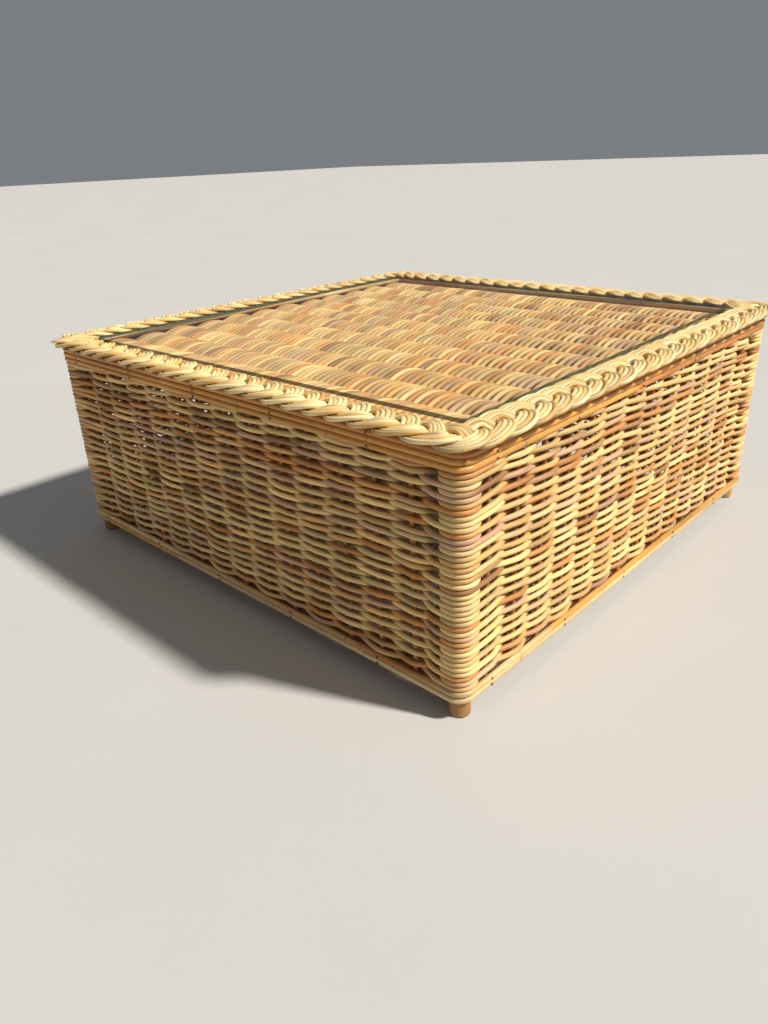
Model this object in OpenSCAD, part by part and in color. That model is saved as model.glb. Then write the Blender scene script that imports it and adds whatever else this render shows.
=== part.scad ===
// Square wicker coffee table: a frame of rattan poles, cane woven over stakes on all four
// sides and across the top, nailed trim poles, a plaited border and a loose glass pane.
// The origin is on the ground under the middle of the table. +Z is up and -Y is the front.

/* [Overall size] */
// Width and depth of the body, measured over its trim poles
body_w = 960; // [800:5:1200]
// Height from the underside of the lowest trim pole to the top of the highest one
side_h = 352; // [300:1:460]
// How far the ends of the corner posts stand out below the trim, as feet
foot_h = 29; // [8:1:40]

/* [Frame poles] */
// Diameter of the four corner posts
post_d = 30; // [28:1:36]
// Diameter of the top and bottom rails
rail_d = 24; // [20:1:26]
// Diameter of the cross bearers under the top
bearer_d = 22; // [16:1:24]
// Distance from one cross bearer to the next
bearer_pitch = 220; // [120:5:260]

/* [Weaving] */
// Diameter of a stake
stake_d = 8; // [6:0.5:9]
// Diameter of a weaving cane
weaver_d = 7.5; // [5:0.5:8]
// Number of upright stakes in each side
side_stakes = 14; // [9:1:14]
// Distance from one upright stake to the next
side_stake_pitch = 62; // [40:1:62]
// How far each side's row of stakes stands towards that side's left end
side_stake_shift = 13; // [0:1:20]
// Number of stakes across the top
top_stakes = 12; // [8:1:12]
// Distance from one top stake to the next
top_stake_pitch = 71; // [50:1:72]

/* [Trim poles] */
// Diameter of a trim pole
trim_d = 9; // [7:0.5:10]
// Distance from the front right corner to the butt joint in a pole
trim_joint = 160; // [80:5:400]

/* [Border] */
// Width of the plaited border
braid_w = 66; // [50:1:80]
// How far the border stands out past the trim poles
braid_overhang = 20; // [5:1:30]
// Height of the border above the highest trim pole
braid_rise = 19; // [14:0.5:26]
// Outer corner radius of the border
braid_corner_r = 50; // [10:1:60]
// Diameter of the straight canes that line the recess
ledge_d = 9; // [7:0.5:10]

/* [Glass] */
// Width and depth of the glass pane
glass_w = 850; // [600:5:850]
// Thickness of the glass pane
glass_t = 6; // [4:0.5:8]
// Corner radius of the glass pane
glass_corner_r = 12; // [3:1:40]
// How far the loose pane lies turned in its recess, in degrees
glass_turn = 1; // [0:0.1:1]

/* [Nails and screws] */
// Diameter of a trim nail
nail_d = 1.8; // [1.2:0.1:2.4]
// Diameter of a nail head
nail_head_d = 4; // [3:0.1:5]
// Diameter of a frame screw
screw_d = 4; // [3:0.1:5]
// Length of a frame screw
screw_l = 46; // [35:1:60]

/* [Hidden] */
$fn = 48;

SIDES = ["front", "right", "back", "left"];

// Clearances
fit_gap = 0.2;          // between pieces that are laid side by side
butt_gap = 0.6;         // between the two ends of a butt joint
glass_gap = 0.3;        // under and around the loose pane

// Plan: distances outward from the middle of the table
half_w = body_w / 2;
post_at = half_w - trim_d - post_d / 2;
stake_at = half_w - trim_d - stake_d / 2;
rail_at = stake_at - stake_d / 2 - rail_d / 2;
trim_at = half_w - trim_d / 2;
trim_bend_r = trim_at - post_at;
weave_out = stake_at + stake_d / 2 + weaver_d;
weave_in = stake_at - stake_d / 2 - weaver_d;
braid_out = half_w + braid_overhang;
braid_in = braid_out - braid_w;
ledge_at = braid_in - ledge_d / 2 - fit_gap;
top_panel_half = ledge_at - ledge_d / 2 - fit_gap;
top_rim_half = rail_at - rail_d / 2 - fit_gap;

// Levels: heights above the ground
trim_pitch = trim_d + fit_gap;
trim_top = foot_h + side_h;
top_trim_low = trim_top - trim_d - 2 * trim_pitch;
bottom_trim_high = foot_h + trim_d + trim_pitch;
bottom_rail_z = foot_h + rail_d / 2;
braid_top = trim_top + braid_rise;
ledge_z = trim_top + ledge_d / 2;
top_weave_z = trim_top + ledge_d / 2 - fit_gap;   // crest of the woven top
top_stake_z = top_weave_z - weaver_d - stake_d / 2;
top_rail_z = top_stake_z - stake_d / 2 - fit_gap - rail_d / 2;
top_weave_low = top_stake_z - stake_d / 2 - weaver_d;
bearer_z = top_weave_low - fit_gap - bearer_d / 2;
weave_low = bottom_trim_high + fit_gap;
weave_high = top_trim_low - fit_gap;
glass_z = ledge_z + ledge_d / 2 + glass_gap;

// Nails sit in every third stake
nail_step = 3;
nail_head_t = 0.8;
nail_long = trim_d + stake_d + rail_d / 3;
nail_short = trim_d + stake_d - 1;
screw_offset = 4;       // screws from two sides pass each other in a post
screw_head_d = 8;
screw_head_l = 3;
screw_sink = 4;         // how far a screw head is sunk below a round pole's surface

POLE = "#c89a58";
WEAVE = "#d8a964";
TRIM = "#c47a2c";
STAKE = "#b5834a";
BRAID = "#e0c48c";
STEEL = "#6b6660";
GLASS = [0.55, 0.75, 0.68, 0.35];

function stake_x(i, count, pitch) = (i - (count - 1) / 2) * pitch;
function side_stake_x(i) = stake_x(i, side_stakes, side_stake_pitch) - side_stake_shift;

// ---- Helpers -------------------------------------------------------------

// Turns a front-side shape to side k: 0 front, 1 right, 2 back, 3 left.
module to_side(k) {
    rotate([0, 0, 90 * k]) children();
}

// A round pole along X from x0 to x1.
module pole_x(d, x0, x1) {
    translate([x0, 0, 0]) rotate([0, 90, 0]) cylinder(d = d, h = x1 - x0);
}

// Wedge of plan that belongs to the front side, between the two diagonals.
module front_wedge(z0, z1) {
    reach = braid_out + 10;
    translate([0, 0, z0]) linear_extrude(z1 - z0)
        polygon([[0, 0], [-reach, -reach], [reach, -reach]]);
}

// Upright block with a square plan of half width half and corner radius r.
module rounded_block(half, r, z0, z1) {
    translate([0, 0, z0]) linear_extrude(z1 - z0) {
        square([2 * half, 2 * (half - r)], center = true);
        square([2 * (half - r), 2 * half], center = true);
        for (x = [-1, 1], y = [-1, 1])
            translate([x * (half - r), y * (half - r)]) circle(r);
    }
}

// ---- Frame ---------------------------------------------------------------

// The foot end is dressed with a small round edge.
module corner_post(x, y) {
    r = post_d / 2;
    edge = 1.5;
    color(POLE) translate([x * post_at, y * post_at, 0]) rotate_extrude()
        polygon(concat(
            [[0, 0], [r - edge, 0]],
            [for (a = [15:15:75]) [r - edge + edge * sin(a), edge - edge * cos(a)]],
            [[r, edge], [r, trim_top], [0, trim_top]]));
}

// Front rail at height z, its two ends coped round the corner posts. The thin inner edge
// that passes each post is mitred against the neighbouring rail.
module rail(z) {
    color(POLE) difference() {
        intersection() {
            translate([0, -rail_at, z]) pole_x(rail_d, -post_at, post_at);
            front_wedge(0, trim_top);
        }
        for (x = [-1, 1])
            translate([x * post_at, -post_at, 0]) cylinder(d = post_d, h = trim_top);
    }
}

// Bearer from the front rail to the back rail, butted square against them.
module cross_bearer(x) {
    reach = rail_at - rail_d / 2;
    color(POLE) translate([x, 0, bearer_z]) rotate([0, 0, 90]) pole_x(bearer_d, -reach, reach);
}

// Screw along X with its countersunk head at x = 0.
module screw() {
    rotate([0, 90, 0]) {
        cylinder(d = screw_d, h = screw_l);
        cylinder(d = screw_head_d, h = screw_head_l);
    }
}

// Two screws through each corner post at each rail, and one in each end of a bearer.
module frame_screws() {
    post_skin = post_at - screw_sink
        + sqrt(pow(post_d / 2, 2) - pow(post_at - rail_at, 2));
    rail_skin = rail_at - screw_sink
        + sqrt(pow(rail_d / 2, 2) - pow(top_rail_z - bearer_z, 2));
    color(STEEL) {
        for (k = [0:3], z = [bottom_rail_z, top_rail_z])
            to_side(k) {
                translate([-post_skin, -rail_at, z + screw_offset * cos(180 * k)]) screw();
                translate([post_skin, -rail_at, z + screw_offset * cos(180 * k)])
                    rotate([0, 0, 180]) screw();
            }
        for (x = [-1:1], y = [-1, 1])
            translate([x * bearer_pitch, y * rail_skin, bearer_z])
                rotate([0, 0, -90 * y]) screw();
    }
}

// ---- Stakes and weaving --------------------------------------------------

module stake_row(d) {
    for (i = [0:side_stakes - 1])
        translate([side_stake_x(i), -stake_at, foot_h + 2])
            cylinder(d = d, h = side_h - 3);
}

module side_stakes() {
    color(STAKE) stake_row(stake_d);
}

// Woven face of the front side. Its middle is as thick as two weavers and a stake; in
// front of the rails, and round the two posts, only the outer weaver's thickness is left.
module side_weave() {
    face_half = post_at - post_d / 2;
    rail_clear = fit_gap + rail_d / 2;
    outer_in = stake_at - stake_d / 2 + fit_gap;
    color(WEAVE) difference() {
        intersection() {
            union() {
                difference() {
                    rounded_block(weave_out, weave_out - post_at, weave_low, weave_high);
                    rounded_block(post_at + post_d / 2 + fit_gap / 2,
                        post_d / 2 + fit_gap / 2, 0, trim_top);
                }
                translate([-face_half, -weave_out + 1, weave_low])
                    cube([2 * face_half, weave_out - 1 - outer_in, weave_high - weave_low]);
                translate([-face_half, -weave_out + 1, bottom_rail_z + rail_clear])
                    cube([2 * face_half, weave_out - 1 - weave_in,
                        top_rail_z - bottom_rail_z - 2 * rail_clear]);
            }
            front_wedge(0, trim_top);
        }
        stake_row(stake_d + fit_gap);
    }
}

module top_stake_row(d, length) {
    for (i = [0:top_stakes - 1])
        translate([0, stake_x(i, top_stakes, top_stake_pitch), top_stake_z])
            pole_x(d, -length / 2, length / 2);
}

// Stakes along X, which rest on the left and right top rails.
module top_stakes() {
    color(STAKE) top_stake_row(stake_d, 2 * (stake_at - stake_d));
}

// Woven top panel, with a lower rim that the ledge canes lie on.
module top_weave() {
    color(WEAVE) difference() {
        union() {
            translate([-top_panel_half, -top_panel_half, top_weave_low])
                cube([2 * top_panel_half, 2 * top_panel_half, top_weave_z - top_weave_low]);
            translate([-top_rim_half, -top_rim_half, top_weave_low])
                cube([2 * top_rim_half, 2 * top_rim_half, trim_top - fit_gap - top_weave_low]);
        }
        top_stake_row(stake_d + fit_gap, 2 * half_w);
    }
}

// ---- Trim poles ----------------------------------------------------------

// Pole that starts on the front face at x = start, runs round the right side in two
// bends, and ends on the back face where its twin begins.
module trim_pole(z, start) {
    color(TRIM) translate([0, 0, z]) {
        translate([0, -trim_at, 0]) pole_x(trim_d, start + butt_gap / 2, post_at);
        translate([0, trim_at, 0]) pole_x(trim_d, -start + butt_gap / 2, post_at);
        translate([trim_at, 0, 0]) rotate([0, 0, 90]) pole_x(trim_d, -post_at, post_at);
        for (bend = [0, 1])
            translate([post_at, (2 * bend - 1) * post_at, 0])
                rotate([0, 0, -90 + 90 * bend])
                    rotate_extrude(angle = 90) translate([trim_bend_r, 0]) circle(d = trim_d);
    }
}

// Heights of the trim poles: level 0 is the outermost of the top and of the bottom ones.
function top_trim_z(level) = trim_top - trim_d / 2 - level * trim_pitch;
function bottom_trim_z(level) = foot_h + trim_d / 2 + level * trim_pitch;

// Each ring of trim is two poles: its name, its height, the side that its first pole
// starts on, and how far from the corner post it starts.
TRIM_RINGS = [
    ["top_trim_upper", top_trim_z(0), 1, trim_joint],
    ["top_trim_middle", top_trim_z(1), 0, 2 * trim_joint],
    ["top_trim_lower", top_trim_z(2), 1, 2.5 * trim_joint],
    ["bottom_trim_upper", bottom_trim_z(1), 1, 1.2 * trim_joint],
    ["bottom_trim_lower", bottom_trim_z(0), 0, 1.8 * trim_joint],
];

// ---- Nails ---------------------------------------------------------------

// Nails of one trim pole height, driven inward at every third stake of every side.
module nail_ring(z, length) {
    for (k = [0:3], i = [0:nail_step:side_stakes - 1])
        to_side(k)
            translate([side_stake_x(i), -half_w, z])
                rotate([-90, 0, 0]) {
                    cylinder(d = nail_d, h = length);
                    translate([0, 0, -nail_head_t / 2])
                        cylinder(d = nail_head_d, h = nail_head_t);
                }
}

module top_trim_nails() {
    color(STEEL) {
        nail_ring(top_trim_z(0), nail_short);
        nail_ring(top_trim_z(1), nail_long);
        nail_ring(top_trim_z(2), nail_long);
    }
}

module bottom_trim_nails() {
    color(STEEL) for (level = [0, 1]) nail_ring(bottom_trim_z(level), nail_long);
}

// ---- Border, ledge and glass ---------------------------------------------

// Points of an arc of an ellipse round (x, z).
function arc(x, z, rx, rz, a0, a1) =
    [for (a = [a0:(a1 - a0) / 8:a1]) [x + rx * cos(a), z + rz * sin(a)]];

// Section of the border: a low dome over a flat seat, and a lip over the trim's edge.
module braid_section() {
    seat = trim_top + fit_gap;
    crown_x = braid_in + 0.45 * braid_w;
    shoulder_z = trim_top + 0.42 * braid_rise;
    lip_in = half_w + nail_head_t;
    lip_low = trim_top - 0.3 * braid_rise;
    polygon(concat(
        arc(crown_x, shoulder_z, crown_x - braid_in, braid_top - shoulder_z, 180, 90),
        arc(crown_x, shoulder_z, braid_out - crown_x, braid_top - shoulder_z, 90, 0),
        arc(lip_in + 3, shoulder_z, braid_out - lip_in - 3, shoulder_z - lip_low, 0, -90),
        [[lip_in, lip_low], [lip_in, seat]],
        arc(braid_in + 6, shoulder_z, 6, shoulder_z - seat, -90, -180)));
}

// Front border, mitred at both corners.
module braid() {
    color(BRAID) intersection() {
        rotate([90, 0, -90]) linear_extrude(2 * braid_out, center = true) braid_section();
        front_wedge(foot_h, braid_top + 1);
        rounded_block(braid_out, braid_corner_r, foot_h, braid_top + 1);
    }
}

// Straight cane beside the recess; the side canes run through and the others butt on them.
module ledge_cane(through) {
    reach = through ? ledge_at + ledge_d / 2 : ledge_at - ledge_d / 2 - fit_gap;
    color(TRIM) translate([0, -ledge_at, ledge_z]) pole_x(ledge_d, -reach, reach);
}

module glass_pane() {
    color(GLASS) rotate([0, 0, glass_turn])
        rounded_block(glass_w / 2, glass_corner_r, glass_z, glass_z + glass_t);
}

// ---- Sub-parts -----------------------------------------------------------

corner_post(-1, -1);  // corner_post_front_left
corner_post(1, -1);  // corner_post_front_right
corner_post(1, 1);  // corner_post_back_right
corner_post(-1, 1);  // corner_post_back_left

for (k = [0:3]) {
    to_side(k) rail(bottom_rail_z);
    to_side(k) rail(top_rail_z);
    to_side(k) side_stakes();
    to_side(k) side_weave();
    to_side(k) braid();
    to_side(k) ledge_cane(k % 2 == 1);
}

cross_bearer(-bearer_pitch);  // cross_bearer_left
cross_bearer(0);  // cross_bearer_middle
cross_bearer(bearer_pitch);  // cross_bearer_right
frame_screws();

top_stakes();
top_weave();

for (ring = TRIM_RINGS, twin = [0, 1])
    to_side(ring[2] + 2 * twin) trim_pole(ring[1], ring[3] - post_at);

top_trim_nails();
bottom_trim_nails();
glass_pane();
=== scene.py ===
"""Looks for the square wicker coffee table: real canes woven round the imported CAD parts."""

import math

import bpy
import numpy as np
from mathutils import Matrix, Vector


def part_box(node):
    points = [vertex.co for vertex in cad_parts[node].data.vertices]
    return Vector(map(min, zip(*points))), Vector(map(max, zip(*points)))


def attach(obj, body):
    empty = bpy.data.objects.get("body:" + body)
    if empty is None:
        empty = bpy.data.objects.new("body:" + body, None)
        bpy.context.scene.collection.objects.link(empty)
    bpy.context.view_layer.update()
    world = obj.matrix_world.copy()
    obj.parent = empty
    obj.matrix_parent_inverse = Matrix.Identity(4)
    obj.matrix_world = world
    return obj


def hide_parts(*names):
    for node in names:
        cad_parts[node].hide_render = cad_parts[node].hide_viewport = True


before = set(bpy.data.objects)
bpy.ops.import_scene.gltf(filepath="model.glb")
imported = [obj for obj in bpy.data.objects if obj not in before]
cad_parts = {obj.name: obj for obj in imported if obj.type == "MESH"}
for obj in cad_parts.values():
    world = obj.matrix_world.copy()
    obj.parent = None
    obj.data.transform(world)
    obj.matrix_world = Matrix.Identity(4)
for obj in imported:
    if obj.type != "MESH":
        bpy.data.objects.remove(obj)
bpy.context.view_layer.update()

MM = 0.001
SIDES = ["front", "right", "back", "left"]
CORNERS = ["front_left", "front_right", "back_right", "back_left"]
SEED = 11

# ---- Sizes read from the frame, in metres --------------------------------------------


def low(node):
    return np.array(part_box(node)[0])


def high(node):
    return np.array(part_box(node)[1])


def middle(node):
    return (low(node) + high(node)) / 2


HALF_W = high("top_trim_upper_1")[0]
TRIM_R = (high("top_trim_upper_1")[2] - low("top_trim_upper_1")[2]) / 2
TRIM_TOP = high("top_trim_upper_1")[2]
TRIM_AT = HALF_W - TRIM_R
POST_AT = middle("corner_post_front_right")[0]
POST_R = (high("corner_post_front_right") - low("corner_post_front_right"))[0] / 2
STAKE_AT = -middle("side_stakes_front")[1]
STAKE_R = (high("side_stakes_front") - low("side_stakes_front"))[1] / 2
SIDE_STAKES = 14
FIRST_STAKE = low("side_stakes_front")[0] + STAKE_R
LAST_STAKE = high("side_stakes_front")[0] - STAKE_R
WEAVE_OUT = -low("side_weave_front")[1]
WEAVE_LOW = low("side_weave_front")[2]
WEAVE_HIGH = high("side_weave_front")[2]
TOP_STAKES = 12
TOP_STAKE_R = (high("top_stakes") - low("top_stakes"))[2] / 2
TOP_STAKE_Z = middle("top_stakes")[2]
TOP_SPAN = high("top_stakes")[1] - TOP_STAKE_R
TOP_CREST = high("top_weave")[2]
LEDGE_R = (high("ledge_cane_front") - low("ledge_cane_front"))[1] / 2
LEDGE_AT = -middle("ledge_cane_front")[1]
TOP_HALF = LEDGE_AT - LEDGE_R - 0.2 * MM
BRAID_OUT = -low("braid_front")[1]
BRAID_IN = -high("braid_front")[1]
BRAID_TOP = high("braid_front")[2]

# ---- Weaving ---------------------------------------------------------------------------

WEAVE_ROWS = 44
WEAVER_R = 3.75 * MM
ROWS_CUT = 4                # rows at each corner whose ends are tucked in before the post
TOP_CANES = 136
TOP_CANE_R = 3.85 * MM
BRAID_BUMPS = 22            # outer turns of the plait on one side
BRAID_CANES = 4             # canes side by side in one strand
BRAID_CANE_R = 3.1 * MM
BRAID_CANE_GAP = 6.2 * MM
BRAID_LIFT = 4.1 * MM       # how far a strand rises and dips from the plait's mid level
BRAID_LEAN = 6 * MM         # how much a strand runs along the edges before it turns in

# ---- Random numbers and small maths ------------------------------------------------------


def rng_for(name):
    return np.random.default_rng([SEED, *name.encode()])


def smooth(t):
    t = np.clip(t, 0, 1)
    return t * t * (3 - 2 * t)


def loop_noise(rng, s, length, spacing):
    """Smooth noise along s that repeats after length; its knots are about spacing apart."""
    count = max(4, round(length / spacing))
    knots = rng.normal(size=count)
    u = np.asarray(s) / length * count
    i = np.floor(u).astype(int)
    f = smooth(u - i)
    return knots[i % count] * (1 - f) + knots[(i + 1) % count] * f


class Ripple:
    """A smooth random field over two coordinates, made of a few plane waves."""

    def __init__(self, rng, count, shortest, longest):
        turn = rng.uniform(0, 2 * math.pi, count)
        rate = 2 * math.pi / rng.uniform(shortest, longest, count)
        self.kx = rate * np.cos(turn)
        self.ky = rate * np.sin(turn)
        self.phase = rng.uniform(0, 2 * math.pi, count)

    def __call__(self, x, y):
        waves = np.cos(np.multiply.outer(x, self.kx) + np.multiply.outer(y, self.ky) + self.phase)
        return waves.sum(-1) * math.sqrt(2 / len(self.kx))


def eased(x, knots, values):
    """Values at the knots, joined by half cosine waves."""
    i = np.clip(np.searchsorted(knots, x) - 1, 0, len(knots) - 2)
    t = np.clip((x - knots[i]) / (knots[i + 1] - knots[i]), 0, 1)
    f = (1 - np.cos(math.pi * t)) / 2
    return values[i] * (1 - f) + values[i + 1] * f


def spun(points, k):
    """Front-side points turned to side k."""
    x, y, z = points.T
    for _ in range(k):
        x, y = -y, x
    return np.stack([x, y, z], -1)


def resampled(points, spacing):
    steps = np.linalg.norm(np.diff(points, axis=0), axis=1)
    along = np.concatenate([[0], np.cumsum(steps)])
    s = np.linspace(0, along[-1], max(3, int(along[-1] / spacing) + 1))
    return np.stack([np.interp(s, along, column) for column in points.T], -1), s


def linear(red, green, blue):
    """sRGB values from 0 to 255 as linear ones."""
    c = np.array([red, green, blue]) / 255
    return np.where(c <= 0.04045, c / 12.92, ((c + 0.055) / 1.055) ** 2.4)


# ---- Canes as meshes ---------------------------------------------------------------------


class Bundle:
    """Round canes collected into one mesh, with each cane's own coordinates and colour (with any
    painted shade).
    """

    def __init__(self, sides):
        self.sides = sides
        self.points = []
        self.grain = []
        self.tints = []
        self.knots = []
        self.quads = []
        self.caps = []
        self.count = 0

    def add(self, centre, radius, tint, up=(0, 0, 1), offset=0.0, knot=None, guarded=False):
        """centre is a row of points. Where guarded, the first and last only set direction."""
        n = len(centre)
        radius = np.broadcast_to(radius, n)
        tint = np.broadcast_to(tint, (n, 3))
        knot = np.zeros(n) if knot is None else knot
        tangent = np.gradient(centre, axis=0)
        tangent /= np.linalg.norm(tangent, axis=1, keepdims=True)
        aside = np.cross(tangent, np.array(up, float))
        aside /= np.linalg.norm(aside, axis=1, keepdims=True)
        lift = np.cross(aside, tangent)
        steps = np.linalg.norm(np.diff(centre, axis=0), axis=1)
        along = np.concatenate([[0], np.cumsum(steps)]) + offset
        angle = np.arange(self.sides) / self.sides * 2 * math.pi
        cos, sin = np.cos(angle), np.sin(angle)
        wide = radius[:, None, None]
        spoke = cos[:, None] * aside[:, None] + sin[:, None] * lift[:, None]
        ring = centre[:, None] + wide * spoke
        grain = np.empty((n, self.sides, 3))
        grain[..., 0] = along[:, None]
        grain[..., 1] = radius[:, None] * cos
        grain[..., 2] = radius[:, None] * sin
        keep = slice(1, -1) if guarded else slice(None)
        ring, grain, tint, knot = ring[keep], grain[keep], tint[keep], knot[keep]
        n = len(ring)
        self.points.append(ring.reshape(-1, 3))
        self.grain.append(grain.reshape(-1, 3))
        self.tints.append(np.repeat(tint, self.sides, 0))
        self.knots.append(np.repeat(knot, self.sides))
        i, j = np.meshgrid(np.arange(n - 1), np.arange(self.sides), indexing="ij")
        a = self.count + i * self.sides + j
        b = self.count + i * self.sides + (j + 1) % self.sides
        self.quads.append(np.stack([a, a + self.sides, b + self.sides, b], -1).reshape(-1, 4))
        first = self.count + np.arange(self.sides)
        self.caps.append(first)
        self.caps.append(first[::-1] + (n - 1) * self.sides)
        self.count += n * self.sides

    def build(self, name, material):
        quads = np.concatenate(self.quads)
        caps = np.array(self.caps)
        points = np.concatenate(self.points)
        corners = np.concatenate([quads.ravel(), caps.ravel()])
        cap_starts = len(quads) * 4 + np.arange(len(caps)) * self.sides
        starts = np.concatenate([np.arange(len(quads)) * 4, cap_starts])
        mesh = bpy.data.meshes.new(name)
        mesh.vertices.add(len(points))
        mesh.vertices.foreach_set("co", points.astype(np.float32).ravel())
        mesh.loops.add(len(corners))
        mesh.loops.foreach_set("vertex_index", corners.astype(np.int32))
        mesh.polygons.add(len(starts))
        mesh.polygons.foreach_set("loop_start", starts.astype(np.int32))
        mesh.update(calc_edges=True)
        round_side = np.arange(len(starts)) < len(quads)
        mesh.polygons.foreach_set("use_smooth", round_side)
        grain = mesh.attributes.new("cane", "FLOAT_VECTOR", "POINT")
        grain.data.foreach_set("vector", np.concatenate(self.grain).astype(np.float32).ravel())
        knot = mesh.attributes.new("knot", "FLOAT", "POINT")
        knot.data.foreach_set("value", np.concatenate(self.knots).astype(np.float32))
        tints = np.concatenate(self.tints)
        colours = np.concatenate([tints, np.ones((len(tints), 1))], 1)
        tint = mesh.attributes.new("tint", "FLOAT_COLOR", "POINT")
        tint.data.foreach_set("color", colours.astype(np.float32).ravel())
        mesh.materials.append(material)
        piece = bpy.data.objects.new(name, mesh)
        bpy.context.scene.collection.objects.link(piece)
        return piece


def install(piece, node, body="table"):
    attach(piece, body)
    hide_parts(node)


# ---- Colours of canes ----------------------------------------------------------------------

PALE_CREAM = linear(240, 216, 162)
CREAM = linear(234, 200, 134)
STRAW = linear(218, 174, 106)
ORANGE = linear(204, 142, 76)
MAUVE = linear(202, 160, 124)
BROWN = linear(156, 110, 68)
TRIM_ORANGE = linear(212, 152, 72)
TRIM_RED = linear(198, 130, 64)
TRIM_PALE = linear(214, 184, 130)
STAKE_BROWN = linear(176, 128, 78)
POST_TAN = linear(172, 126, 74)
WEAVE_PALETTE = [CREAM, STRAW, ORANGE, MAUVE, BROWN]
SIDE_SHARES = [0.44, 0.27, 0.14, 0.12, 0.03]
TOP_SHARES = [0.26, 0.36, 0.28, 0.08, 0.02]
BRAID_PALETTE = [PALE_CREAM, CREAM, STRAW]
BRAID_SHARES = [0.55, 0.35, 0.1]

# Painted shade: canes are coloured darker, by these parts, where they pass under or behind another.
SIDE_PAINTED_SHADE = 0.5
TOP_PAINTED_SHADE = 0.48
BRAID_PAINTED_SHADE = 0.38


def cane_tints(rng, s, length, palette, weights, cane_length, drift, strength):
    """Colours along s: a palette colour for each length of cane, drifting along it."""
    pieces = max(1, round(length / cane_length))
    edges = np.sort(rng.uniform(0, length, pieces))
    which = np.searchsorted(edges, np.asarray(s) % length) % pieces
    palette = np.array(palette)
    first = palette[rng.choice(len(palette), pieces, p=weights)]
    second = palette[rng.choice(len(palette), pieces, p=weights)]
    mix = 0.5 + 0.5 * np.clip(loop_noise(rng, s, length, drift), -1, 1)
    colour = first[which] * (1 - mix[:, None]) + second[which] * mix[:, None]
    bright = 1 + strength * loop_noise(rng, s, length, drift)
    return colour * np.clip(bright, 0.55, 1.5)[:, None]


# ---- Materials -----------------------------------------------------------------------------


class Shader:
    """A node material, with short calls for adding nodes and links."""

    def __init__(self, name):
        self.material = bpy.data.materials.new(name)
        self.material.use_nodes = True
        self.tree = self.material.node_tree
        self.surface = self.tree.nodes["Principled BSDF"]

    def node(self, kind, inputs=None, **settings):
        node = self.tree.nodes.new("ShaderNode" + kind)
        for key, value in settings.items():
            setattr(node, key, value)
        for key, value in (inputs or {}).items():
            self.put(node.inputs[key], value)
        return node

    def put(self, socket, value):
        if isinstance(value, bpy.types.NodeSocket):
            self.tree.links.new(value, socket)
        else:
            socket.default_value = value

    def noise(self, vector, scale, detail=3.0, roughness=0.5):
        settings = {"Vector": vector, "Scale": scale, "Detail": detail, "Roughness": roughness}
        return self.node("TexNoise", settings).outputs["Fac"]

    def remap(self, value, a, b, c, d):
        inputs = {"Value": value, "From Min": a, "From Max": b, "To Min": c, "To Max": d}
        return self.node("MapRange", inputs).outputs["Result"]

    def stretched(self, vector, x, y, z):
        return self.node("VectorMath", {0: vector, 1: (x, y, z)}, operation="MULTIPLY").outputs[0]

    def product(self, a, b):
        return self.node("Math", {0: a, 1: b}, operation="MULTIPLY").outputs[0]

    def scaled(self, colour, factor):
        return self.node("VectorMath", {0: colour, "Scale": factor}, operation="SCALE").outputs[0]

    def attribute(self, name, output):
        return self.node("Attribute", attribute_name=name).outputs[output]

    def object_point(self):
        return self.node("TexCoord").outputs["Object"]


def cane_material(name, streak, roughness, coat=0.0, fibre=0.25 * MM):
    """Peeled cane: long fibres along each cane, blotches, dark specks and node rings."""
    s = Shader(name)
    cane = s.attribute("cane", "Vector")
    # tint: each cane's colour, with the painted shade of the weaving and plait multiplied in.
    tint = s.attribute("tint", "Color")
    knot = s.attribute("knot", "Fac")
    fibres = s.noise(s.stretched(cane, 14, 900, 900), 1.0, 4.0, 0.6)
    bands = s.noise(s.stretched(cane, 55, 260, 260), 1.0, 3.0, 0.6)
    blotch = s.noise(s.object_point(), 9.0, 4.0, 0.6)
    specks = s.noise(s.stretched(cane, 260, 700, 700), 1.0, 1.0, 0.4)
    shade = s.product(s.remap(fibres, 0.3, 0.7, 1 - streak, 1 + streak),
                      s.remap(bands, 0.3, 0.7, 0.88, 1.1))
    shade = s.product(shade, s.remap(blotch, 0.3, 0.7, 0.93, 1.06))
    shade = s.product(shade, s.remap(specks, 0.68, 0.78, 1.0, 0.6))
    shade = s.product(shade, s.remap(knot, 0.2, 1.0, 1.0, 0.45))
    s.put(s.surface.inputs["Base Color"], s.scaled(tint, shade))
    s.put(s.surface.inputs["Roughness"], s.remap(bands, 0.3, 0.7, roughness - 0.09, roughness + 0.1))
    if coat:
        s.put(s.surface.inputs["Coat Weight"], coat)
        s.put(s.surface.inputs["Coat Roughness"], 0.25)
    bump = s.node("Bump", {"Height": fibres, "Distance": fibre, "Strength": 0.6})
    s.put(s.surface.inputs["Normal"], bump.outputs["Normal"])
    return s.material


def hidden_pole_material(name, colour):
    """Debarked pole for the frame that the weaving covers, grained by its own place."""
    s = Shader(name)
    point = s.object_point()
    grain = s.noise(s.stretched(point, 60, 60, 60), 1.0, 5.0, 0.65)
    fine = s.noise(s.stretched(point, 700, 700, 700), 1.0, 2.0, 0.5)
    shade = s.product(s.remap(grain, 0.3, 0.7, 0.75, 1.12), s.remap(fine, 0.3, 0.7, 0.9, 1.08))
    base = s.node("RGB").outputs[0]
    base.default_value = (*colour, 1)
    s.put(s.surface.inputs["Base Color"], s.scaled(base, shade))
    s.put(s.surface.inputs["Roughness"], s.remap(grain, 0.3, 0.7, 0.5, 0.7))
    bump = s.node("Bump", {"Height": fine, "Distance": 0.2 * MM, "Strength": 0.5})
    s.put(s.surface.inputs["Normal"], bump.outputs["Normal"])
    return s.material


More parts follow.
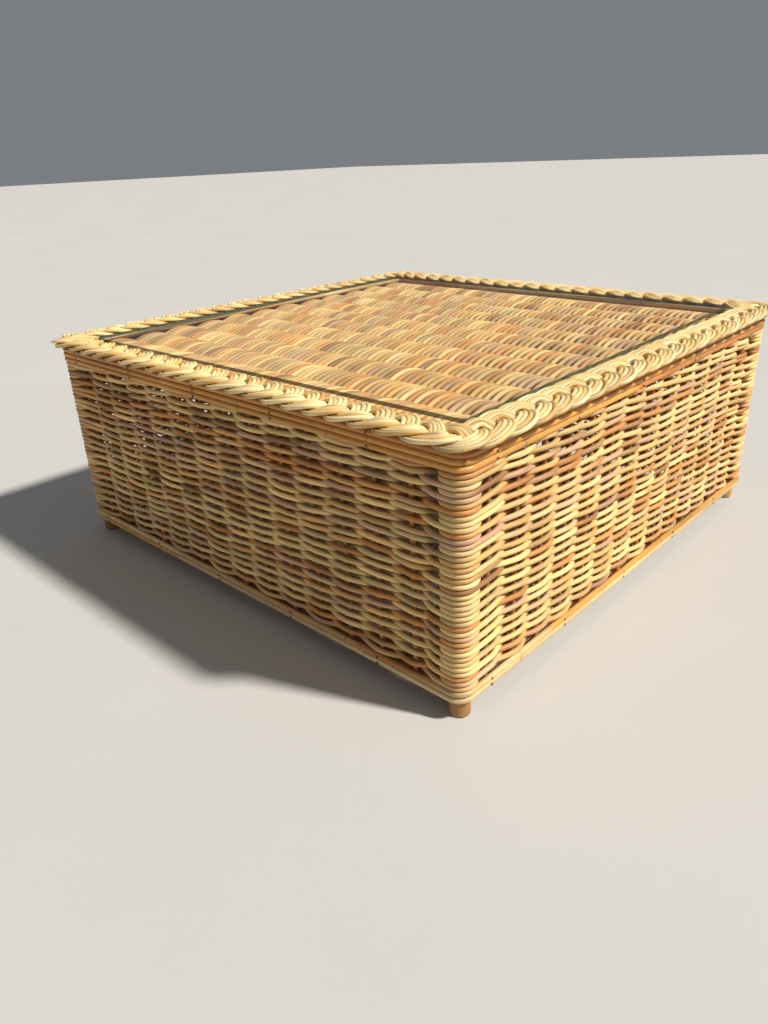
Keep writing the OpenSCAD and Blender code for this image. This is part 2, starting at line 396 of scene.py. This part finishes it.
def steel_material():
    """Dull nail steel with a brown bloom of rust."""
    s = Shader("nail_steel")
    point = s.object_point()
    rust = s.noise(point, 260.0, 4.0, 0.6)
    pits = s.noise(point, 1400.0, 2.0, 0.5)
    blend = s.node("Mix", {"Factor": s.remap(rust, 0.42, 0.6, 0.0, 1.0)}, data_type="RGBA")
    s.put(blend.inputs[6], (*linear(112, 104, 96), 1))
    s.put(blend.inputs[7], (*linear(92, 58, 36), 1))
    s.put(s.surface.inputs["Base Color"], blend.outputs[2])
    s.put(s.surface.inputs["Metallic"], 0.7)
    s.put(s.surface.inputs["Roughness"], s.remap(rust, 0.35, 0.65, 0.35, 0.7))
    bump = s.node("Bump", {"Height": pits, "Distance": 0.1 * MM, "Strength": 0.5})
    s.put(s.surface.inputs["Normal"], bump.outputs["Normal"])
    return s.material


GLASS_MIRROR = 0.02         # how much of the light a glass face returns when seen square on
GLASS_GRAZE = 0.3           # the same when it is seen edge on


def pane_face_material():
    """Clear glass face that lets the lamps through, a little smeared."""
    s = Shader("glass_face")
    s.tree.nodes.remove(s.surface)
    smear = s.noise(s.object_point(), 7.0, 4.0, 0.6)
    clear = s.node("BsdfTransparent", {"Color": (0.985, 0.995, 0.985, 1)})
    haze = s.remap(smear, 0.3, 0.8, 0.005, 0.06)
    gloss = s.node("BsdfGlossy", {"Color": (1, 1, 1, 1), "Roughness": haze})
    facing = s.node("LayerWeight", {"Blend": 0.5}).outputs["Facing"]
    edge_on = s.node("Math", {0: facing, 1: 5.0}, operation="POWER").outputs[0]
    mirror = s.remap(edge_on, 0.0, 1.0, GLASS_MIRROR, GLASS_GRAZE)
    mix = s.node("MixShader", {0: mirror, 1: clear.outputs[0], 2: gloss.outputs[0]})
    output = s.tree.nodes["Material Output"]
    s.put(output.inputs["Surface"], mix.outputs[0])
    return s.material


def pane_edge_material():
    """Ground edge of the pane, where the glass looks dark green."""
    s = Shader("glass_edge")
    point = s.object_point()
    ground = s.noise(point, 600.0, 3.0, 0.6)
    depth = s.noise(point, 14.0, 3.0, 0.5)
    base = s.node("RGB").outputs[0]
    base.default_value = (*linear(38, 74, 56), 1)
    s.put(s.surface.inputs["Base Color"], s.scaled(base, s.remap(depth, 0.3, 0.7, 0.75, 1.25)))
    s.put(s.surface.inputs["Roughness"], s.remap(ground, 0.3, 0.7, 0.12, 0.3))
    s.put(s.surface.inputs["IOR"], 1.5)
    s.put(s.surface.inputs["Alpha"], 0.86)
    bump = s.node("Bump", {"Height": ground, "Distance": 0.05 * MM, "Strength": 0.4})
    s.put(s.surface.inputs["Normal"], bump.outputs["Normal"])
    return s.material


def floor_material():
    s = Shader("floor")
    haze = s.noise(s.object_point(), 1.3, 4.0, 0.5)
    base = s.node("RGB").outputs[0]
    base.default_value = (0.57, 0.56, 0.545, 1)
    s.put(s.surface.inputs["Base Color"], s.scaled(base, s.remap(haze, 0.3, 0.7, 0.98, 1.02)))
    s.put(s.surface.inputs["Roughness"], 0.9)
    return s.material


WEAVE_MATERIAL = cane_material("weave_cane", 0.16, 0.56)
BRAID_MATERIAL = cane_material("braid_cane", 0.14, 0.5)
TRIM_MATERIAL = cane_material("trim_cane", 0.2, 0.46, coat=0.15)
POLE_MATERIAL = cane_material("pole_cane", 0.2, 0.6, fibre=0.4 * MM)

# ---- Side weaving ----------------------------------------------------------------------------

CROSS = STAKE_R + WEAVER_R          # from a stake's centre line to a weaver's
FLOAT_LIFT = 3.2 * MM               # how far a float lies above its row's own level
TUCK = 12 * MM                      # how far a cut row's end reaches past the last stake
STEPS_PER_STAKE = 10                # rings of a cane from one stake to the next
SEAM_STEP = 0.3 * MM                # from a seam to the rings beside it
FIRST_POST_LEAVE = 4 * MM           # past the first post's middle: a row leaves the post
LAST_POST_DIVE = 29 * MM            # before the last post's middle: an outer row is inside
LAST_POST_TOUCH = 7 * MM            # before the last post's middle: it is outside again
LAST_POST_RISE = 22 * MM            # before the last post's middle: an inner row is outside
LEVEL_OUT = 170 * MM                # over which a row goes from the first post to its own level
LEVEL_IN = 390 * MM                 # over which it goes on to its level at the last post
SLIP = 2.2 * MM                     # unevenness along, then up and down, of the turns
WAVE = 1.7 * MM
JITTER = 0.6 * MM
STACK_JITTER = 0.2 * MM
POST_CROSS = WEAVE_OUT - WEAVER_R - STAKE_AT
CORNER_BEND_R = STAKE_AT + POST_CROSS - POST_AT
HALF_WALK = POST_AT + CORNER_BEND_R * math.pi / 4
AROUND = 8 * HALF_WALK


def weave_stations():
    """Distances along one side, from seam to seam, dense in the bends and at the seams."""
    stakes = np.linspace(FIRST_STAKE, LAST_STAKE, (SIDE_STAKES - 1) * STEPS_PER_STAKE + 1)
    left = np.linspace(-POST_AT, FIRST_STAKE, 13)[:-1]
    right = np.linspace(LAST_STAKE, POST_AT, 19)[1:]
    bend = np.append(np.linspace(POST_AT, HALF_WALK, 7)[1:-1], HALF_WALK - SEAM_STEP)
    bend = np.append(bend, [HALF_WALK, HALF_WALK + SEAM_STEP])
    return np.concatenate([-bend[::-1], left, stakes, right, bend])


def side_crossings(w, first_turn):
    """1 where a row is outside the stakes and -1 where it is inside; also how far a row that
    hugs the last post is pushed along by its tight turn round the post."""
    turns = first_turn * (-1.0) ** np.arange(SIDE_STAKES)
    stakes = np.linspace(FIRST_STAKE, LAST_STAKE, SIDE_STAKES)
    left = [-HALF_WALK, -POST_AT + FIRST_POST_LEAVE]
    if turns[-1] > 0:
        hug = POST_AT - LAST_POST_DIVE, POST_AT - LAST_POST_TOUCH
        knots = np.concatenate([left, stakes, hug, [HALF_WALK]])
        values = np.concatenate([[1, 1], turns, [-1, 1, 1]])
        t = np.clip((w - hug[0]) / (hug[1] - hug[0]), 0, 1)
        shift = (hug[1] - hug[0]) * 0.85 * np.sin(2 * math.pi * t) / (2 * math.pi)
    else:
        knots = np.concatenate([left, stakes, [POST_AT - LAST_POST_RISE, HALF_WALK]])
        values = np.concatenate([[1, 1], turns, [1, 1]])
        shift = np.zeros_like(w)
    return eased(w, knots, values), shift


def plan_of_side(w, out):
    """Front-side plan points at distance w along the side and out from the stake line."""
    bend = np.clip(np.abs(w) - POST_AT, 0, None) / CORNER_BEND_R
    bend_r = STAKE_AT - POST_AT + out
    x = np.clip(w, -POST_AT, POST_AT) + np.sign(w) * bend_r * np.sin(bend)
    y = -POST_AT - bend_r * np.cos(bend)
    return x, y


def cut_rows(corner):
    """The rows that end on both sides of a corner: they are inside at the stakes beside it."""
    rng = rng_for(f"cut rows {corner}")
    spread = np.linspace(0.5, 0.94, ROWS_CUT) * WEAVE_ROWS / 2
    return set((2 * np.round(spread + rng.uniform(-0.8, 0.8, ROWS_CUT)) + corner % 2).astype(int))


def corner_levels(cut):
    """Heights of the rows where they lie stacked round a post."""
    pitch = (WEAVE_HIGH - WEAVE_LOW - 2 * WEAVER_R) / (WEAVE_ROWS - ROWS_CUT - 1)
    ranks = np.cumsum([0.0 if row in cut else 1.0 for row in range(WEAVE_ROWS)]) - 1
    for row in cut:
        ranks[row] += 0.5
    return WEAVE_LOW + WEAVER_R + ranks * pitch


def weave_sides():
    w = weave_stations()
    bundles = [Bundle(10) for _ in SIDES]
    ripples = [Ripple(rng_for("side ripple" + side), 9, 110 * MM, 330 * MM) for side in SIDES]
    pitch = (WEAVE_HIGH - WEAVE_LOW - 2 * WEAVER_R) / (WEAVE_ROWS - 1)
    cuts = [cut_rows(corner) for corner in range(4)]
    levels = [corner_levels(cut) for cut in cuts]
    free = smooth((POST_AT - 8 * MM - np.abs(w)) / (60 * MM))
    sunk = np.minimum(smooth((w + POST_AT) / LEVEL_OUT), smooth((POST_AT - w) / LEVEL_IN))
    around = np.concatenate([k * 2 * HALF_WALK + w + HALF_WALK for k in range(4)])
    for row in range(WEAVE_ROWS):
        rng = rng_for(f"row {row}")
        level = WEAVE_LOW + WEAVER_R + row * pitch
        middle_rows = smooth(min(row, WEAVE_ROWS - 1 - row) / 5)
        tints = cane_tints(rng, around, AROUND, WEAVE_PALETTE, SIDE_SHARES, 1.6, 0.1, 0.15)
        thick = WEAVER_R * (1 + 0.02 * rng.normal() + 0.03 * loop_noise(rng, around, AROUND, 0.2))
        jitter = JITTER * loop_noise(rng, around, AROUND, 0.07)
        bulge = JITTER * loop_noise(rng, around, AROUND, 0.09)
        stack = STACK_JITTER * loop_noise(rng, around, AROUND, 0.4)
        for k, bundle in enumerate(bundles):
            own = slice(k * len(w), (k + 1) * len(w))
            slip = SLIP * loop_noise(rng, around[own], AROUND, 0.05) * smooth(free * 2)
            cross, shift = side_crossings(w + slip, 1 if (row + k) % 2 == 0 else -1)
            out = cross * (CROSS + np.clip(bulge[own], -0.5 * MM, 1.0 * MM) * free)
            at_post = out + (POST_CROSS - CROSS) * (1 - free) * cross
            out = np.where(cross > 0, at_post, out) + stack[own]
            x, y = plan_of_side(w + shift, out)
            near = np.where(w < 0, levels[k - 1][row], levels[k][row])
            wave = WAVE * ripples[k](w, np.full_like(w, level)) * middle_rows
            lift = FLOAT_LIFT * cross * max(middle_rows, 0.3)
            z = near * (1 - sunk) + level * sunk
            z = z + free * (wave + lift + jitter[own] * max(middle_rows, 0.3))
            line = np.stack([x, y, z + 0.3 * stack[own]], -1)
            keep = np.ones(len(w), bool)
            if row in cuts[k]:
                keep &= w < LAST_STAKE + TUCK
            if row in cuts[k - 1]:
                keep &= w > FIRST_STAKE - TUCK
            # Painted shade: the row's colour is darker where it passes inside, behind the stakes and
            # outer floats.
            painted_shade = 1 - SIDE_PAINTED_SHADE * smooth(-cross)
            bundle.add(spun(line[keep], k), thick[own][keep], (tints[own] * painted_shade[:, None])[keep],
                       offset=row * 5.3 + k * 2 * HALF_WALK, guarded=True)
    for side, bundle in zip(SIDES, bundles):
        piece = bundle.build("woven_" + side, WEAVE_MATERIAL)
        install(piece, "side_weave_" + side)


# ---- Top weaving -----------------------------------------------------------------------------


def weave_top():
    bundle = Bundle(9)
    cross_r = TOP_CREST - TOP_STAKE_Z - TOP_CANE_R
    reach = high("top_weave")[1] + 5 * MM
    rest = TRIM_TOP - TOP_CANE_R - 0.2 * MM - TOP_STAKE_Z
    stakes = np.linspace(-TOP_SPAN, TOP_SPAN, TOP_STAKES)
    inner = np.linspace(-TOP_SPAN, TOP_SPAN, (TOP_STAKES - 1) * STEPS_PER_STAKE + 1)
    end = np.linspace(TOP_SPAN, reach, 9)[1:]
    y = np.concatenate([-end[::-1], inner, end])
    knots = np.concatenate([[-reach, -TOP_HALF], stakes, [TOP_HALF, reach]])
    pitch = 2 * (TOP_HALF - TOP_CANE_R) / (TOP_CANES - 1)
    wander = Ripple(rng_for("top wander"), 9, 140 * MM, 420 * MM)
    sway = Ripple(rng_for("top sway"), 9, 120 * MM, 300 * MM)
    for i in range(TOP_CANES):
        rng = rng_for(f"top {i}")
        line = -TOP_HALF + TOP_CANE_R + i * pitch
        turns = np.array([1 if (i + j) % 2 == 0 else -1 for j in range(TOP_STAKES)])
        lift = np.concatenate([[rest, rest], turns * cross_r, [rest, rest]])
        free = smooth(min(i, TOP_CANES - 1 - i) / 8) * smooth((TOP_HALF - np.abs(y)) / (60 * MM))
        x = line + free * (WAVE * wander(np.full_like(y, line), y)
                           + 0.4 * MM * loop_noise(rng, y + 1, 2, 0.09))
        cross = eased(y, knots, lift)
        z = TOP_STAKE_Z + cross + 0.25 * MM * sway(x, y) * free - 0.3 * MM * free
        tints = cane_tints(rng, y + 1, 2, WEAVE_PALETTE, TOP_SHARES, 1.4, 0.09, 0.2)
        # Painted shade: the cane's colour is darker where it dips under a cross stake.
        painted_shade = 1 - TOP_PAINTED_SHADE * smooth(-cross / cross_r)
        thick = TOP_CANE_R * (1 + 0.02 * rng.normal() + 0.03 * loop_noise(rng, y + 1, 2, 0.15))
        bundle.add(np.stack([x, y, z], -1), thick, tints * painted_shade[:, None], offset=i * 3.7)
    piece = bundle.build("woven_top", WEAVE_MATERIAL)
    install(piece, "top_weave")


# ---- Plaited border --------------------------------------------------------------------------

BRAID_LINE = (BRAID_OUT + BRAID_IN) / 2
BRAID_HALF = (BRAID_OUT - BRAID_IN) / 2
BRAID_SWING = BRAID_HALF - (BRAID_CANES - 1) / 2 * BRAID_CANE_GAP - BRAID_CANE_R
BRAID_MID_Z = BRAID_TOP - BRAID_CANE_R - BRAID_LIFT
FAN = 110 * MM              # length at each end of a side where the plait turns the corner
BRAID_DROOP_OUT = 3 * MM    # how much lower the plait lies at its edges than at its middle
BRAID_DROOP_IN = 1.5 * MM
BRAID_RINGS = 300           # rings of one cane along one side


def braid_bend_r(y):
    """Corner radius of the plait's line at y from its middle: 8, 22 and 50 mm across it."""
    t = y / BRAID_HALF
    return (22 + 21 * t + 7 * t * t) * MM


def braid_walk(y):
    """From the middle of a side to its diagonal, along the line at y from the plait's middle."""
    return BRAID_LINE + y - braid_bend_r(y) + braid_bend_r(y) * math.pi / 4


HALF_BRAID = braid_walk(0.0)
BUMP = 2 * HALF_BRAID / BRAID_BUMPS
TURN = 3 * BUMP             # length of one full wave of a strand


def braid_plan(m, y):
    """Front-side plan points at m along the plait's middle line and y out from it."""
    fan = np.clip((np.abs(m) - (HALF_BRAID - FAN)) / FAN, 0, None) ** 2
    walk = np.abs(m) + (braid_walk(y) - HALF_BRAID) * fan
    bend_r = braid_bend_r(y)
    straight = BRAID_LINE + y - bend_r
    bend = np.clip(walk - straight, 0, None) / bend_r
    px = np.minimum(walk, straight) + bend_r * np.sin(bend)
    py = -straight - bend_r * np.cos(bend)
    return np.sign(m) * px, py


def strand_line(t, offset):
    """Along, across and above: one cane, offset from the middle of its strand."""
    along = TURN * t / (2 * math.pi) + BRAID_LEAN * np.sin(2 * t)
    across = BRAID_SWING * np.cos(t)
    d_along = TURN / (2 * math.pi) + 2 * BRAID_LEAN * np.cos(2 * t)
    d_across = -BRAID_SWING * np.sin(t)
    size = np.hypot(d_along, d_across)
    return (along - offset * d_across / size, across + offset * d_along / size,
            BRAID_LIFT * np.sin(2 * t))


def braid_sides():
    loop = 4 * 2 * HALF_BRAID
    whole = 3 * loop
    bundles = [Bundle(9) for _ in SIDES]
    for cane in range(BRAID_CANES):
        offset = (cane - (BRAID_CANES - 1) / 2) * BRAID_CANE_GAP
        for k, bundle in enumerate(bundles):
            for strand in range(3):
                start = strand * loop + k * 2 * HALF_BRAID
                ends = np.array([start, start + 2 * HALF_BRAID])
                rough = np.linspace(ends[0] - BUMP, ends[1] + BUMP, 4000) * 2 * math.pi / TURN
                t0, t1 = np.interp(ends, strand_line(rough, offset)[0], rough)
                t = np.linspace(t0, t1, BRAID_RINGS)
                tiny = (t[1] - t[0]) * 0.1
                t = np.concatenate([t[:1] - tiny, t[:1], t[:1] + tiny, t[1:-1],
                                    t[-1:] - tiny, t[-1:], t[-1:] + tiny])
                along, across, rise = strand_line(t, offset)
                rng = rng_for(f"plait {cane}")
                across = across + 0.5 * MM * loop_noise(rng, along, whole, 0.06)
                rise = rise + 0.35 * MM * loop_noise(rng, along, whole, 0.05)
                thick = BRAID_CANE_R * (1 + 0.04 * loop_noise(rng, along, whole, 0.3))
                tints = cane_tints(rng, along, whole, BRAID_PALETTE, BRAID_SHARES, 1.2, 0.08, 0.1)
                x, y = braid_plan(along - start - HALF_BRAID, across)
                edge = np.where(across > 0, BRAID_DROOP_OUT, BRAID_DROOP_IN)
                z = BRAID_MID_Z + rise - edge * (across / BRAID_HALF) ** 2
                # Painted shade: the strand's colour is darker where it dips under the other strands.
                painted_shade = 1 - BRAID_PAINTED_SHADE * smooth(-rise / BRAID_LIFT)
                bundle.add(spun(np.stack([x, y, z], -1), k), thick, tints * painted_shade[:, None],
                           offset=start + cane * 7.1, guarded=True)
    for side, bundle in zip(SIDES, bundles):
        piece = bundle.build("plait_" + side, BRAID_MATERIAL)
        install(piece, "braid_" + side)


# ---- Poles: trims, ledge canes, stakes and posts ------------------------------------------------


def pole(bundle, rng, path, radius, palette, weights, up=(0, 0, 1), spacing=2.6 * MM,
         wobble=0.25 * MM, node_gap=0.26, swell=0.05, chamfer=0.8 * MM):
    """A round pole along path, a little wavy, with node rings, and with its ends dressed."""
    points, s = resampled(path, spacing)
    length = s[-1]
    sway = [loop_noise(rng, s, length + 1, 0.12) for _ in range(3)]
    points = points + wobble * np.stack(sway, -1)
    ring = np.zeros_like(s)
    at = rng.uniform(0.05, node_gap)
    while at < length:
        ring = np.maximum(ring, np.exp(-((s - at) / (1.6 * MM)) ** 2))
        at += node_gap * rng.uniform(0.7, 1.3)
    r = radius * (1 + 0.012 * loop_noise(rng, s, length + 1, 0.15) + swell * ring)
    tints = cane_tints(rng, s, length + 1, palette, weights, length + 1, 0.12, 0.12)
    run = points[1] - points[0], points[-1] - points[-2]
    run = [v / np.linalg.norm(v) * chamfer for v in run]
    points = np.concatenate([points[:1], points[:1] + run[0], points[1:-1],
                             points[-1:] - run[1], points[-1:]])
    r = np.concatenate([r[:1] * 0.88, r[:1], r[1:-1], r[-1:], r[-1:] * 0.88])
    tints = np.concatenate([tints[:1], tints, tints[-1:]])
    ring = np.concatenate([[0], ring, [0]])
    bundle.add(points, r, tints, up=up, offset=rng.uniform(0, 50), knot=ring)


def trim_line(node):
    """The trim pole's centre line, from the side and the start that its box shows."""
    starts = np.array([low(node)[0], low(node)[1], -high(node)[0], -high(node)[1]])
    k = int(np.argmax(starts))
    start = starts[k]
    bend = np.linspace(0, math.pi / 2, 31)
    bend_r = TRIM_AT - POST_AT
    bend_x = POST_AT + bend_r * np.sin(bend)
    bend_y = -POST_AT - bend_r * np.cos(bend)
    x = np.concatenate([[start], bend_x, bend_x[::-1], [-start]])
    y = np.concatenate([[-TRIM_AT], bend_y, -bend_y[::-1], [TRIM_AT]])
    return spun(np.stack([x, y, np.full_like(x, middle(node)[2])], -1), k)


def trim_poles():
    names = ["top_trim_upper", "top_trim_middle", "top_trim_lower", "bottom_trim_upper",
             "bottom_trim_lower"]
    pale = {"bottom_trim_lower"}
    for name in names:
        for number in (1, 2):
            node = f"{name}_{number}"
            weights = [0.2, 0.1, 0.7] if name in pale else [0.62, 0.3, 0.08]
            bundle = Bundle(14)
            pole(bundle, rng_for(node), trim_line(node), TRIM_R,
                 [TRIM_ORANGE, TRIM_RED, TRIM_PALE], weights)
            piece = bundle.build("pole_" + node, TRIM_MATERIAL)
            install(piece, node)


def ledge_canes():
    for k, side in enumerate(SIDES):
        node = "ledge_cane_" + side
        reach = (high(node) - low(node))[k % 2] / 2
        z = middle(node)[2]
        path = np.array([[-reach, -LEDGE_AT, z], [reach, -LEDGE_AT, z]])
        bundle = Bundle(14)
        pole(bundle, rng_for(node), spun(path, k), LEDGE_R, [TRIM_ORANGE, TRIM_PALE, STRAW],
             [0.6, 0.25, 0.15])
        piece = bundle.build("recess_cane_" + side, TRIM_MATERIAL)
        install(piece, node)


def stakes():
    palette = [STAKE_BROWN, ORANGE]
    for k, side in enumerate(SIDES):
        node = "side_stakes_" + side
        bundle = Bundle(10)
        for i, x in enumerate(np.linspace(FIRST_STAKE, LAST_STAKE, SIDE_STAKES)):
            path = np.array([[x, -STAKE_AT, low(node)[2]], [x, -STAKE_AT, high(node)[2]]])
            pole(bundle, rng_for(f"{node} {i}"), spun(path, k), STAKE_R, palette, [0.6, 0.4],
                 up=(1, 1, 0), spacing=5 * MM, wobble=0.1 * MM)
        piece = bundle.build("uprights_" + side, POLE_MATERIAL)
        install(piece, node)
    bundle = Bundle(10)
    reach = high("top_stakes")[0]
    for i, y in enumerate(np.linspace(-TOP_SPAN, TOP_SPAN, TOP_STAKES)):
        path = np.array([[-reach, y, TOP_STAKE_Z], [reach, y, TOP_STAKE_Z]])
        pole(bundle, rng_for(f"top stake {i}"), path, TOP_STAKE_R, palette, [0.6, 0.4],
             spacing=5 * MM, wobble=0.1 * MM)
    piece = bundle.build("cross_stakes", POLE_MATERIAL)
    install(piece, "top_stakes")


def posts():
    for corner in CORNERS:
        node = "corner_post_" + corner
        x, y = middle(node)[:2]
        path = np.array([[x, y, 0], [x, y, high(node)[2]]])
        bundle = Bundle(28)
        pole(bundle, rng_for(node), path, POST_R, [POST_TAN, STAKE_BROWN, STRAW], [0.5, 0.3, 0.2],
             up=(1, 1, 0), spacing=3 * MM, wobble=0.1 * MM, chamfer=1.4 * MM, swell=0.0)
        piece = bundle.build("upright_pole_" + corner, POLE_MATERIAL)
        install(piece, node)


# ---- Glass pane --------------------------------------------------------------------------------

PANE_TURN = math.radians(1)
PANE_CORNER_R = 12 * MM
PANE_BEVEL = 0.8 * MM


def pane_outline(half, radius):
    arc = np.linspace(0, math.pi / 2, 13)
    quarter = np.stack([half - radius + radius * np.cos(arc), half - radius + radius * np.sin(arc),
                        np.zeros(13)], -1)
    return np.concatenate([spun(quarter, k) for k in range(4)])


def glass_pane():
    lo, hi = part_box("glass_pane")
    box_w = hi.x - lo.x
    swell = math.cos(PANE_TURN) + math.sin(PANE_TURN)
    width = (box_w - 2 * PANE_CORNER_R) / swell + 2 * PANE_CORNER_R
    levels = [(lo.z, PANE_BEVEL), (lo.z + PANE_BEVEL, 0),
              (hi.z - PANE_BEVEL, 0), (hi.z, PANE_BEVEL)]
    rings = []
    for z, inset in levels:
        ring = pane_outline(width / 2 - inset, PANE_CORNER_R - inset)
        ring[:, 2] = z
        rings.append(ring)
    points = np.concatenate(rings)
    turn = np.array(Matrix.Rotation(PANE_TURN, 3, "Z"))
    points = points @ turn.T
    n = len(rings[0])
    faces = [list(range(n))[::-1], list(range(3 * n, 4 * n))]
    for level in range(3):
        for i in range(n):
            a, b = level * n + i, level * n + (i + 1) % n
            faces.append([a, b, b + n, a + n])
    mesh = bpy.data.meshes.new("pane")
    mesh.from_pydata(points.tolist(), [], faces)
    mesh.materials.append(pane_face_material())
    mesh.materials.append(pane_edge_material())
    for face in mesh.polygons:
        face.material_index = 0 if face.index < 2 else 1
        face.use_smooth = face.index >= 2
    piece = bpy.data.objects.new("pane", mesh)
    bpy.context.scene.collection.objects.link(piece)
    install(piece, "glass_pane", "pane")


# ---- Hidden CAD pieces ---------------------------------------------------------------------------


def finish_cad_nodes():
    pole_look = hidden_pole_material("hidden_pole", POST_TAN)
    steel_look = steel_material()
    for name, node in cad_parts.items():
        if node.hide_render:
            continue
        look = steel_look if "nails" in name or "screws" in name else pole_look
        node.data.materials.clear()
        node.data.materials.append(look)


# ---- Stage ---------------------------------------------------------------------------------------

CAMERA_AT = (0.9616, -1.1127, 0.6842)
CAMERA_AZIMUTH = 133.844    # degrees from +X, the way the camera looks
CAMERA_TILT = -24.944
CAMERA_ROLL = -2.473
CAMERA_LENS = 27.0


def add_camera():
    camera = bpy.data.cameras.new("camera")
    camera.lens = CAMERA_LENS
    camera.sensor_width = 36
    azimuth, tilt, roll = (math.radians(a) for a in (CAMERA_AZIMUTH, CAMERA_TILT, CAMERA_ROLL))
    level = math.cos(tilt)
    ahead = Vector((level * math.cos(azimuth), level * math.sin(azimuth), math.sin(tilt)))
    right = ahead.cross(Vector((0, 0, 1))).normalized()
    up = right.cross(ahead)
    rolled_right = math.cos(roll) * right + math.sin(roll) * up
    rolled_up = math.cos(roll) * up - math.sin(roll) * right
    turn = Matrix((rolled_right, rolled_up, -ahead)).transposed()
    thing = bpy.data.objects.new("camera", camera)
    thing.matrix_world = Matrix.Translation(CAMERA_AT) @ turn.to_4x4()
    bpy.context.scene.collection.objects.link(thing)
    bpy.context.scene.camera = thing


KEY_FROM = (0.63, 0.27, 0.73)
KEY_ENERGY = 4.6
KEY_SPREAD = 5              # degrees
SKY_COLOUR = (0.82, 0.87, 0.92, 1)
SKY_STRENGTH = 0.24
FLOOR_HALF = 40             # metres


def add_stage():
    mesh = bpy.data.meshes.new("floor")
    corners = [(-FLOOR_HALF, -FLOOR_HALF, 0), (FLOOR_HALF, -FLOOR_HALF, 0),
               (FLOOR_HALF, FLOOR_HALF, 0), (-FLOOR_HALF, FLOOR_HALF, 0)]
    mesh.from_pydata(corners, [], [(0, 1, 2, 3)])
    mesh.materials.append(floor_material())
    floor = bpy.data.objects.new("floor", mesh)
    bpy.context.scene.collection.objects.link(floor)
    sun = bpy.data.lights.new("key", "SUN")
    sun.energy = KEY_ENERGY
    sun.angle = math.radians(KEY_SPREAD)
    sun.color = (1.0, 0.96, 0.88)
    key = bpy.data.objects.new("key", sun)
    key.rotation_euler = (-Vector(KEY_FROM)).to_track_quat("-Z", "Y").to_euler()
    bpy.context.scene.collection.objects.link(key)
    world = bpy.data.worlds.new("studio")
    world.use_nodes = True
    sky = world.node_tree.nodes["Background"]
    sky.inputs["Color"].default_value = SKY_COLOUR
    sky.inputs["Strength"].default_value = SKY_STRENGTH
    bpy.context.scene.world = world
    bpy.context.scene.view_settings.view_transform = "Standard"


# ---- Everything ----------------------------------------------------------------------------------

weave_sides()
weave_top()
braid_sides()
trim_poles()
ledge_canes()
stakes()
posts()
glass_pane()
finish_cad_nodes()
add_stage()
add_camera()
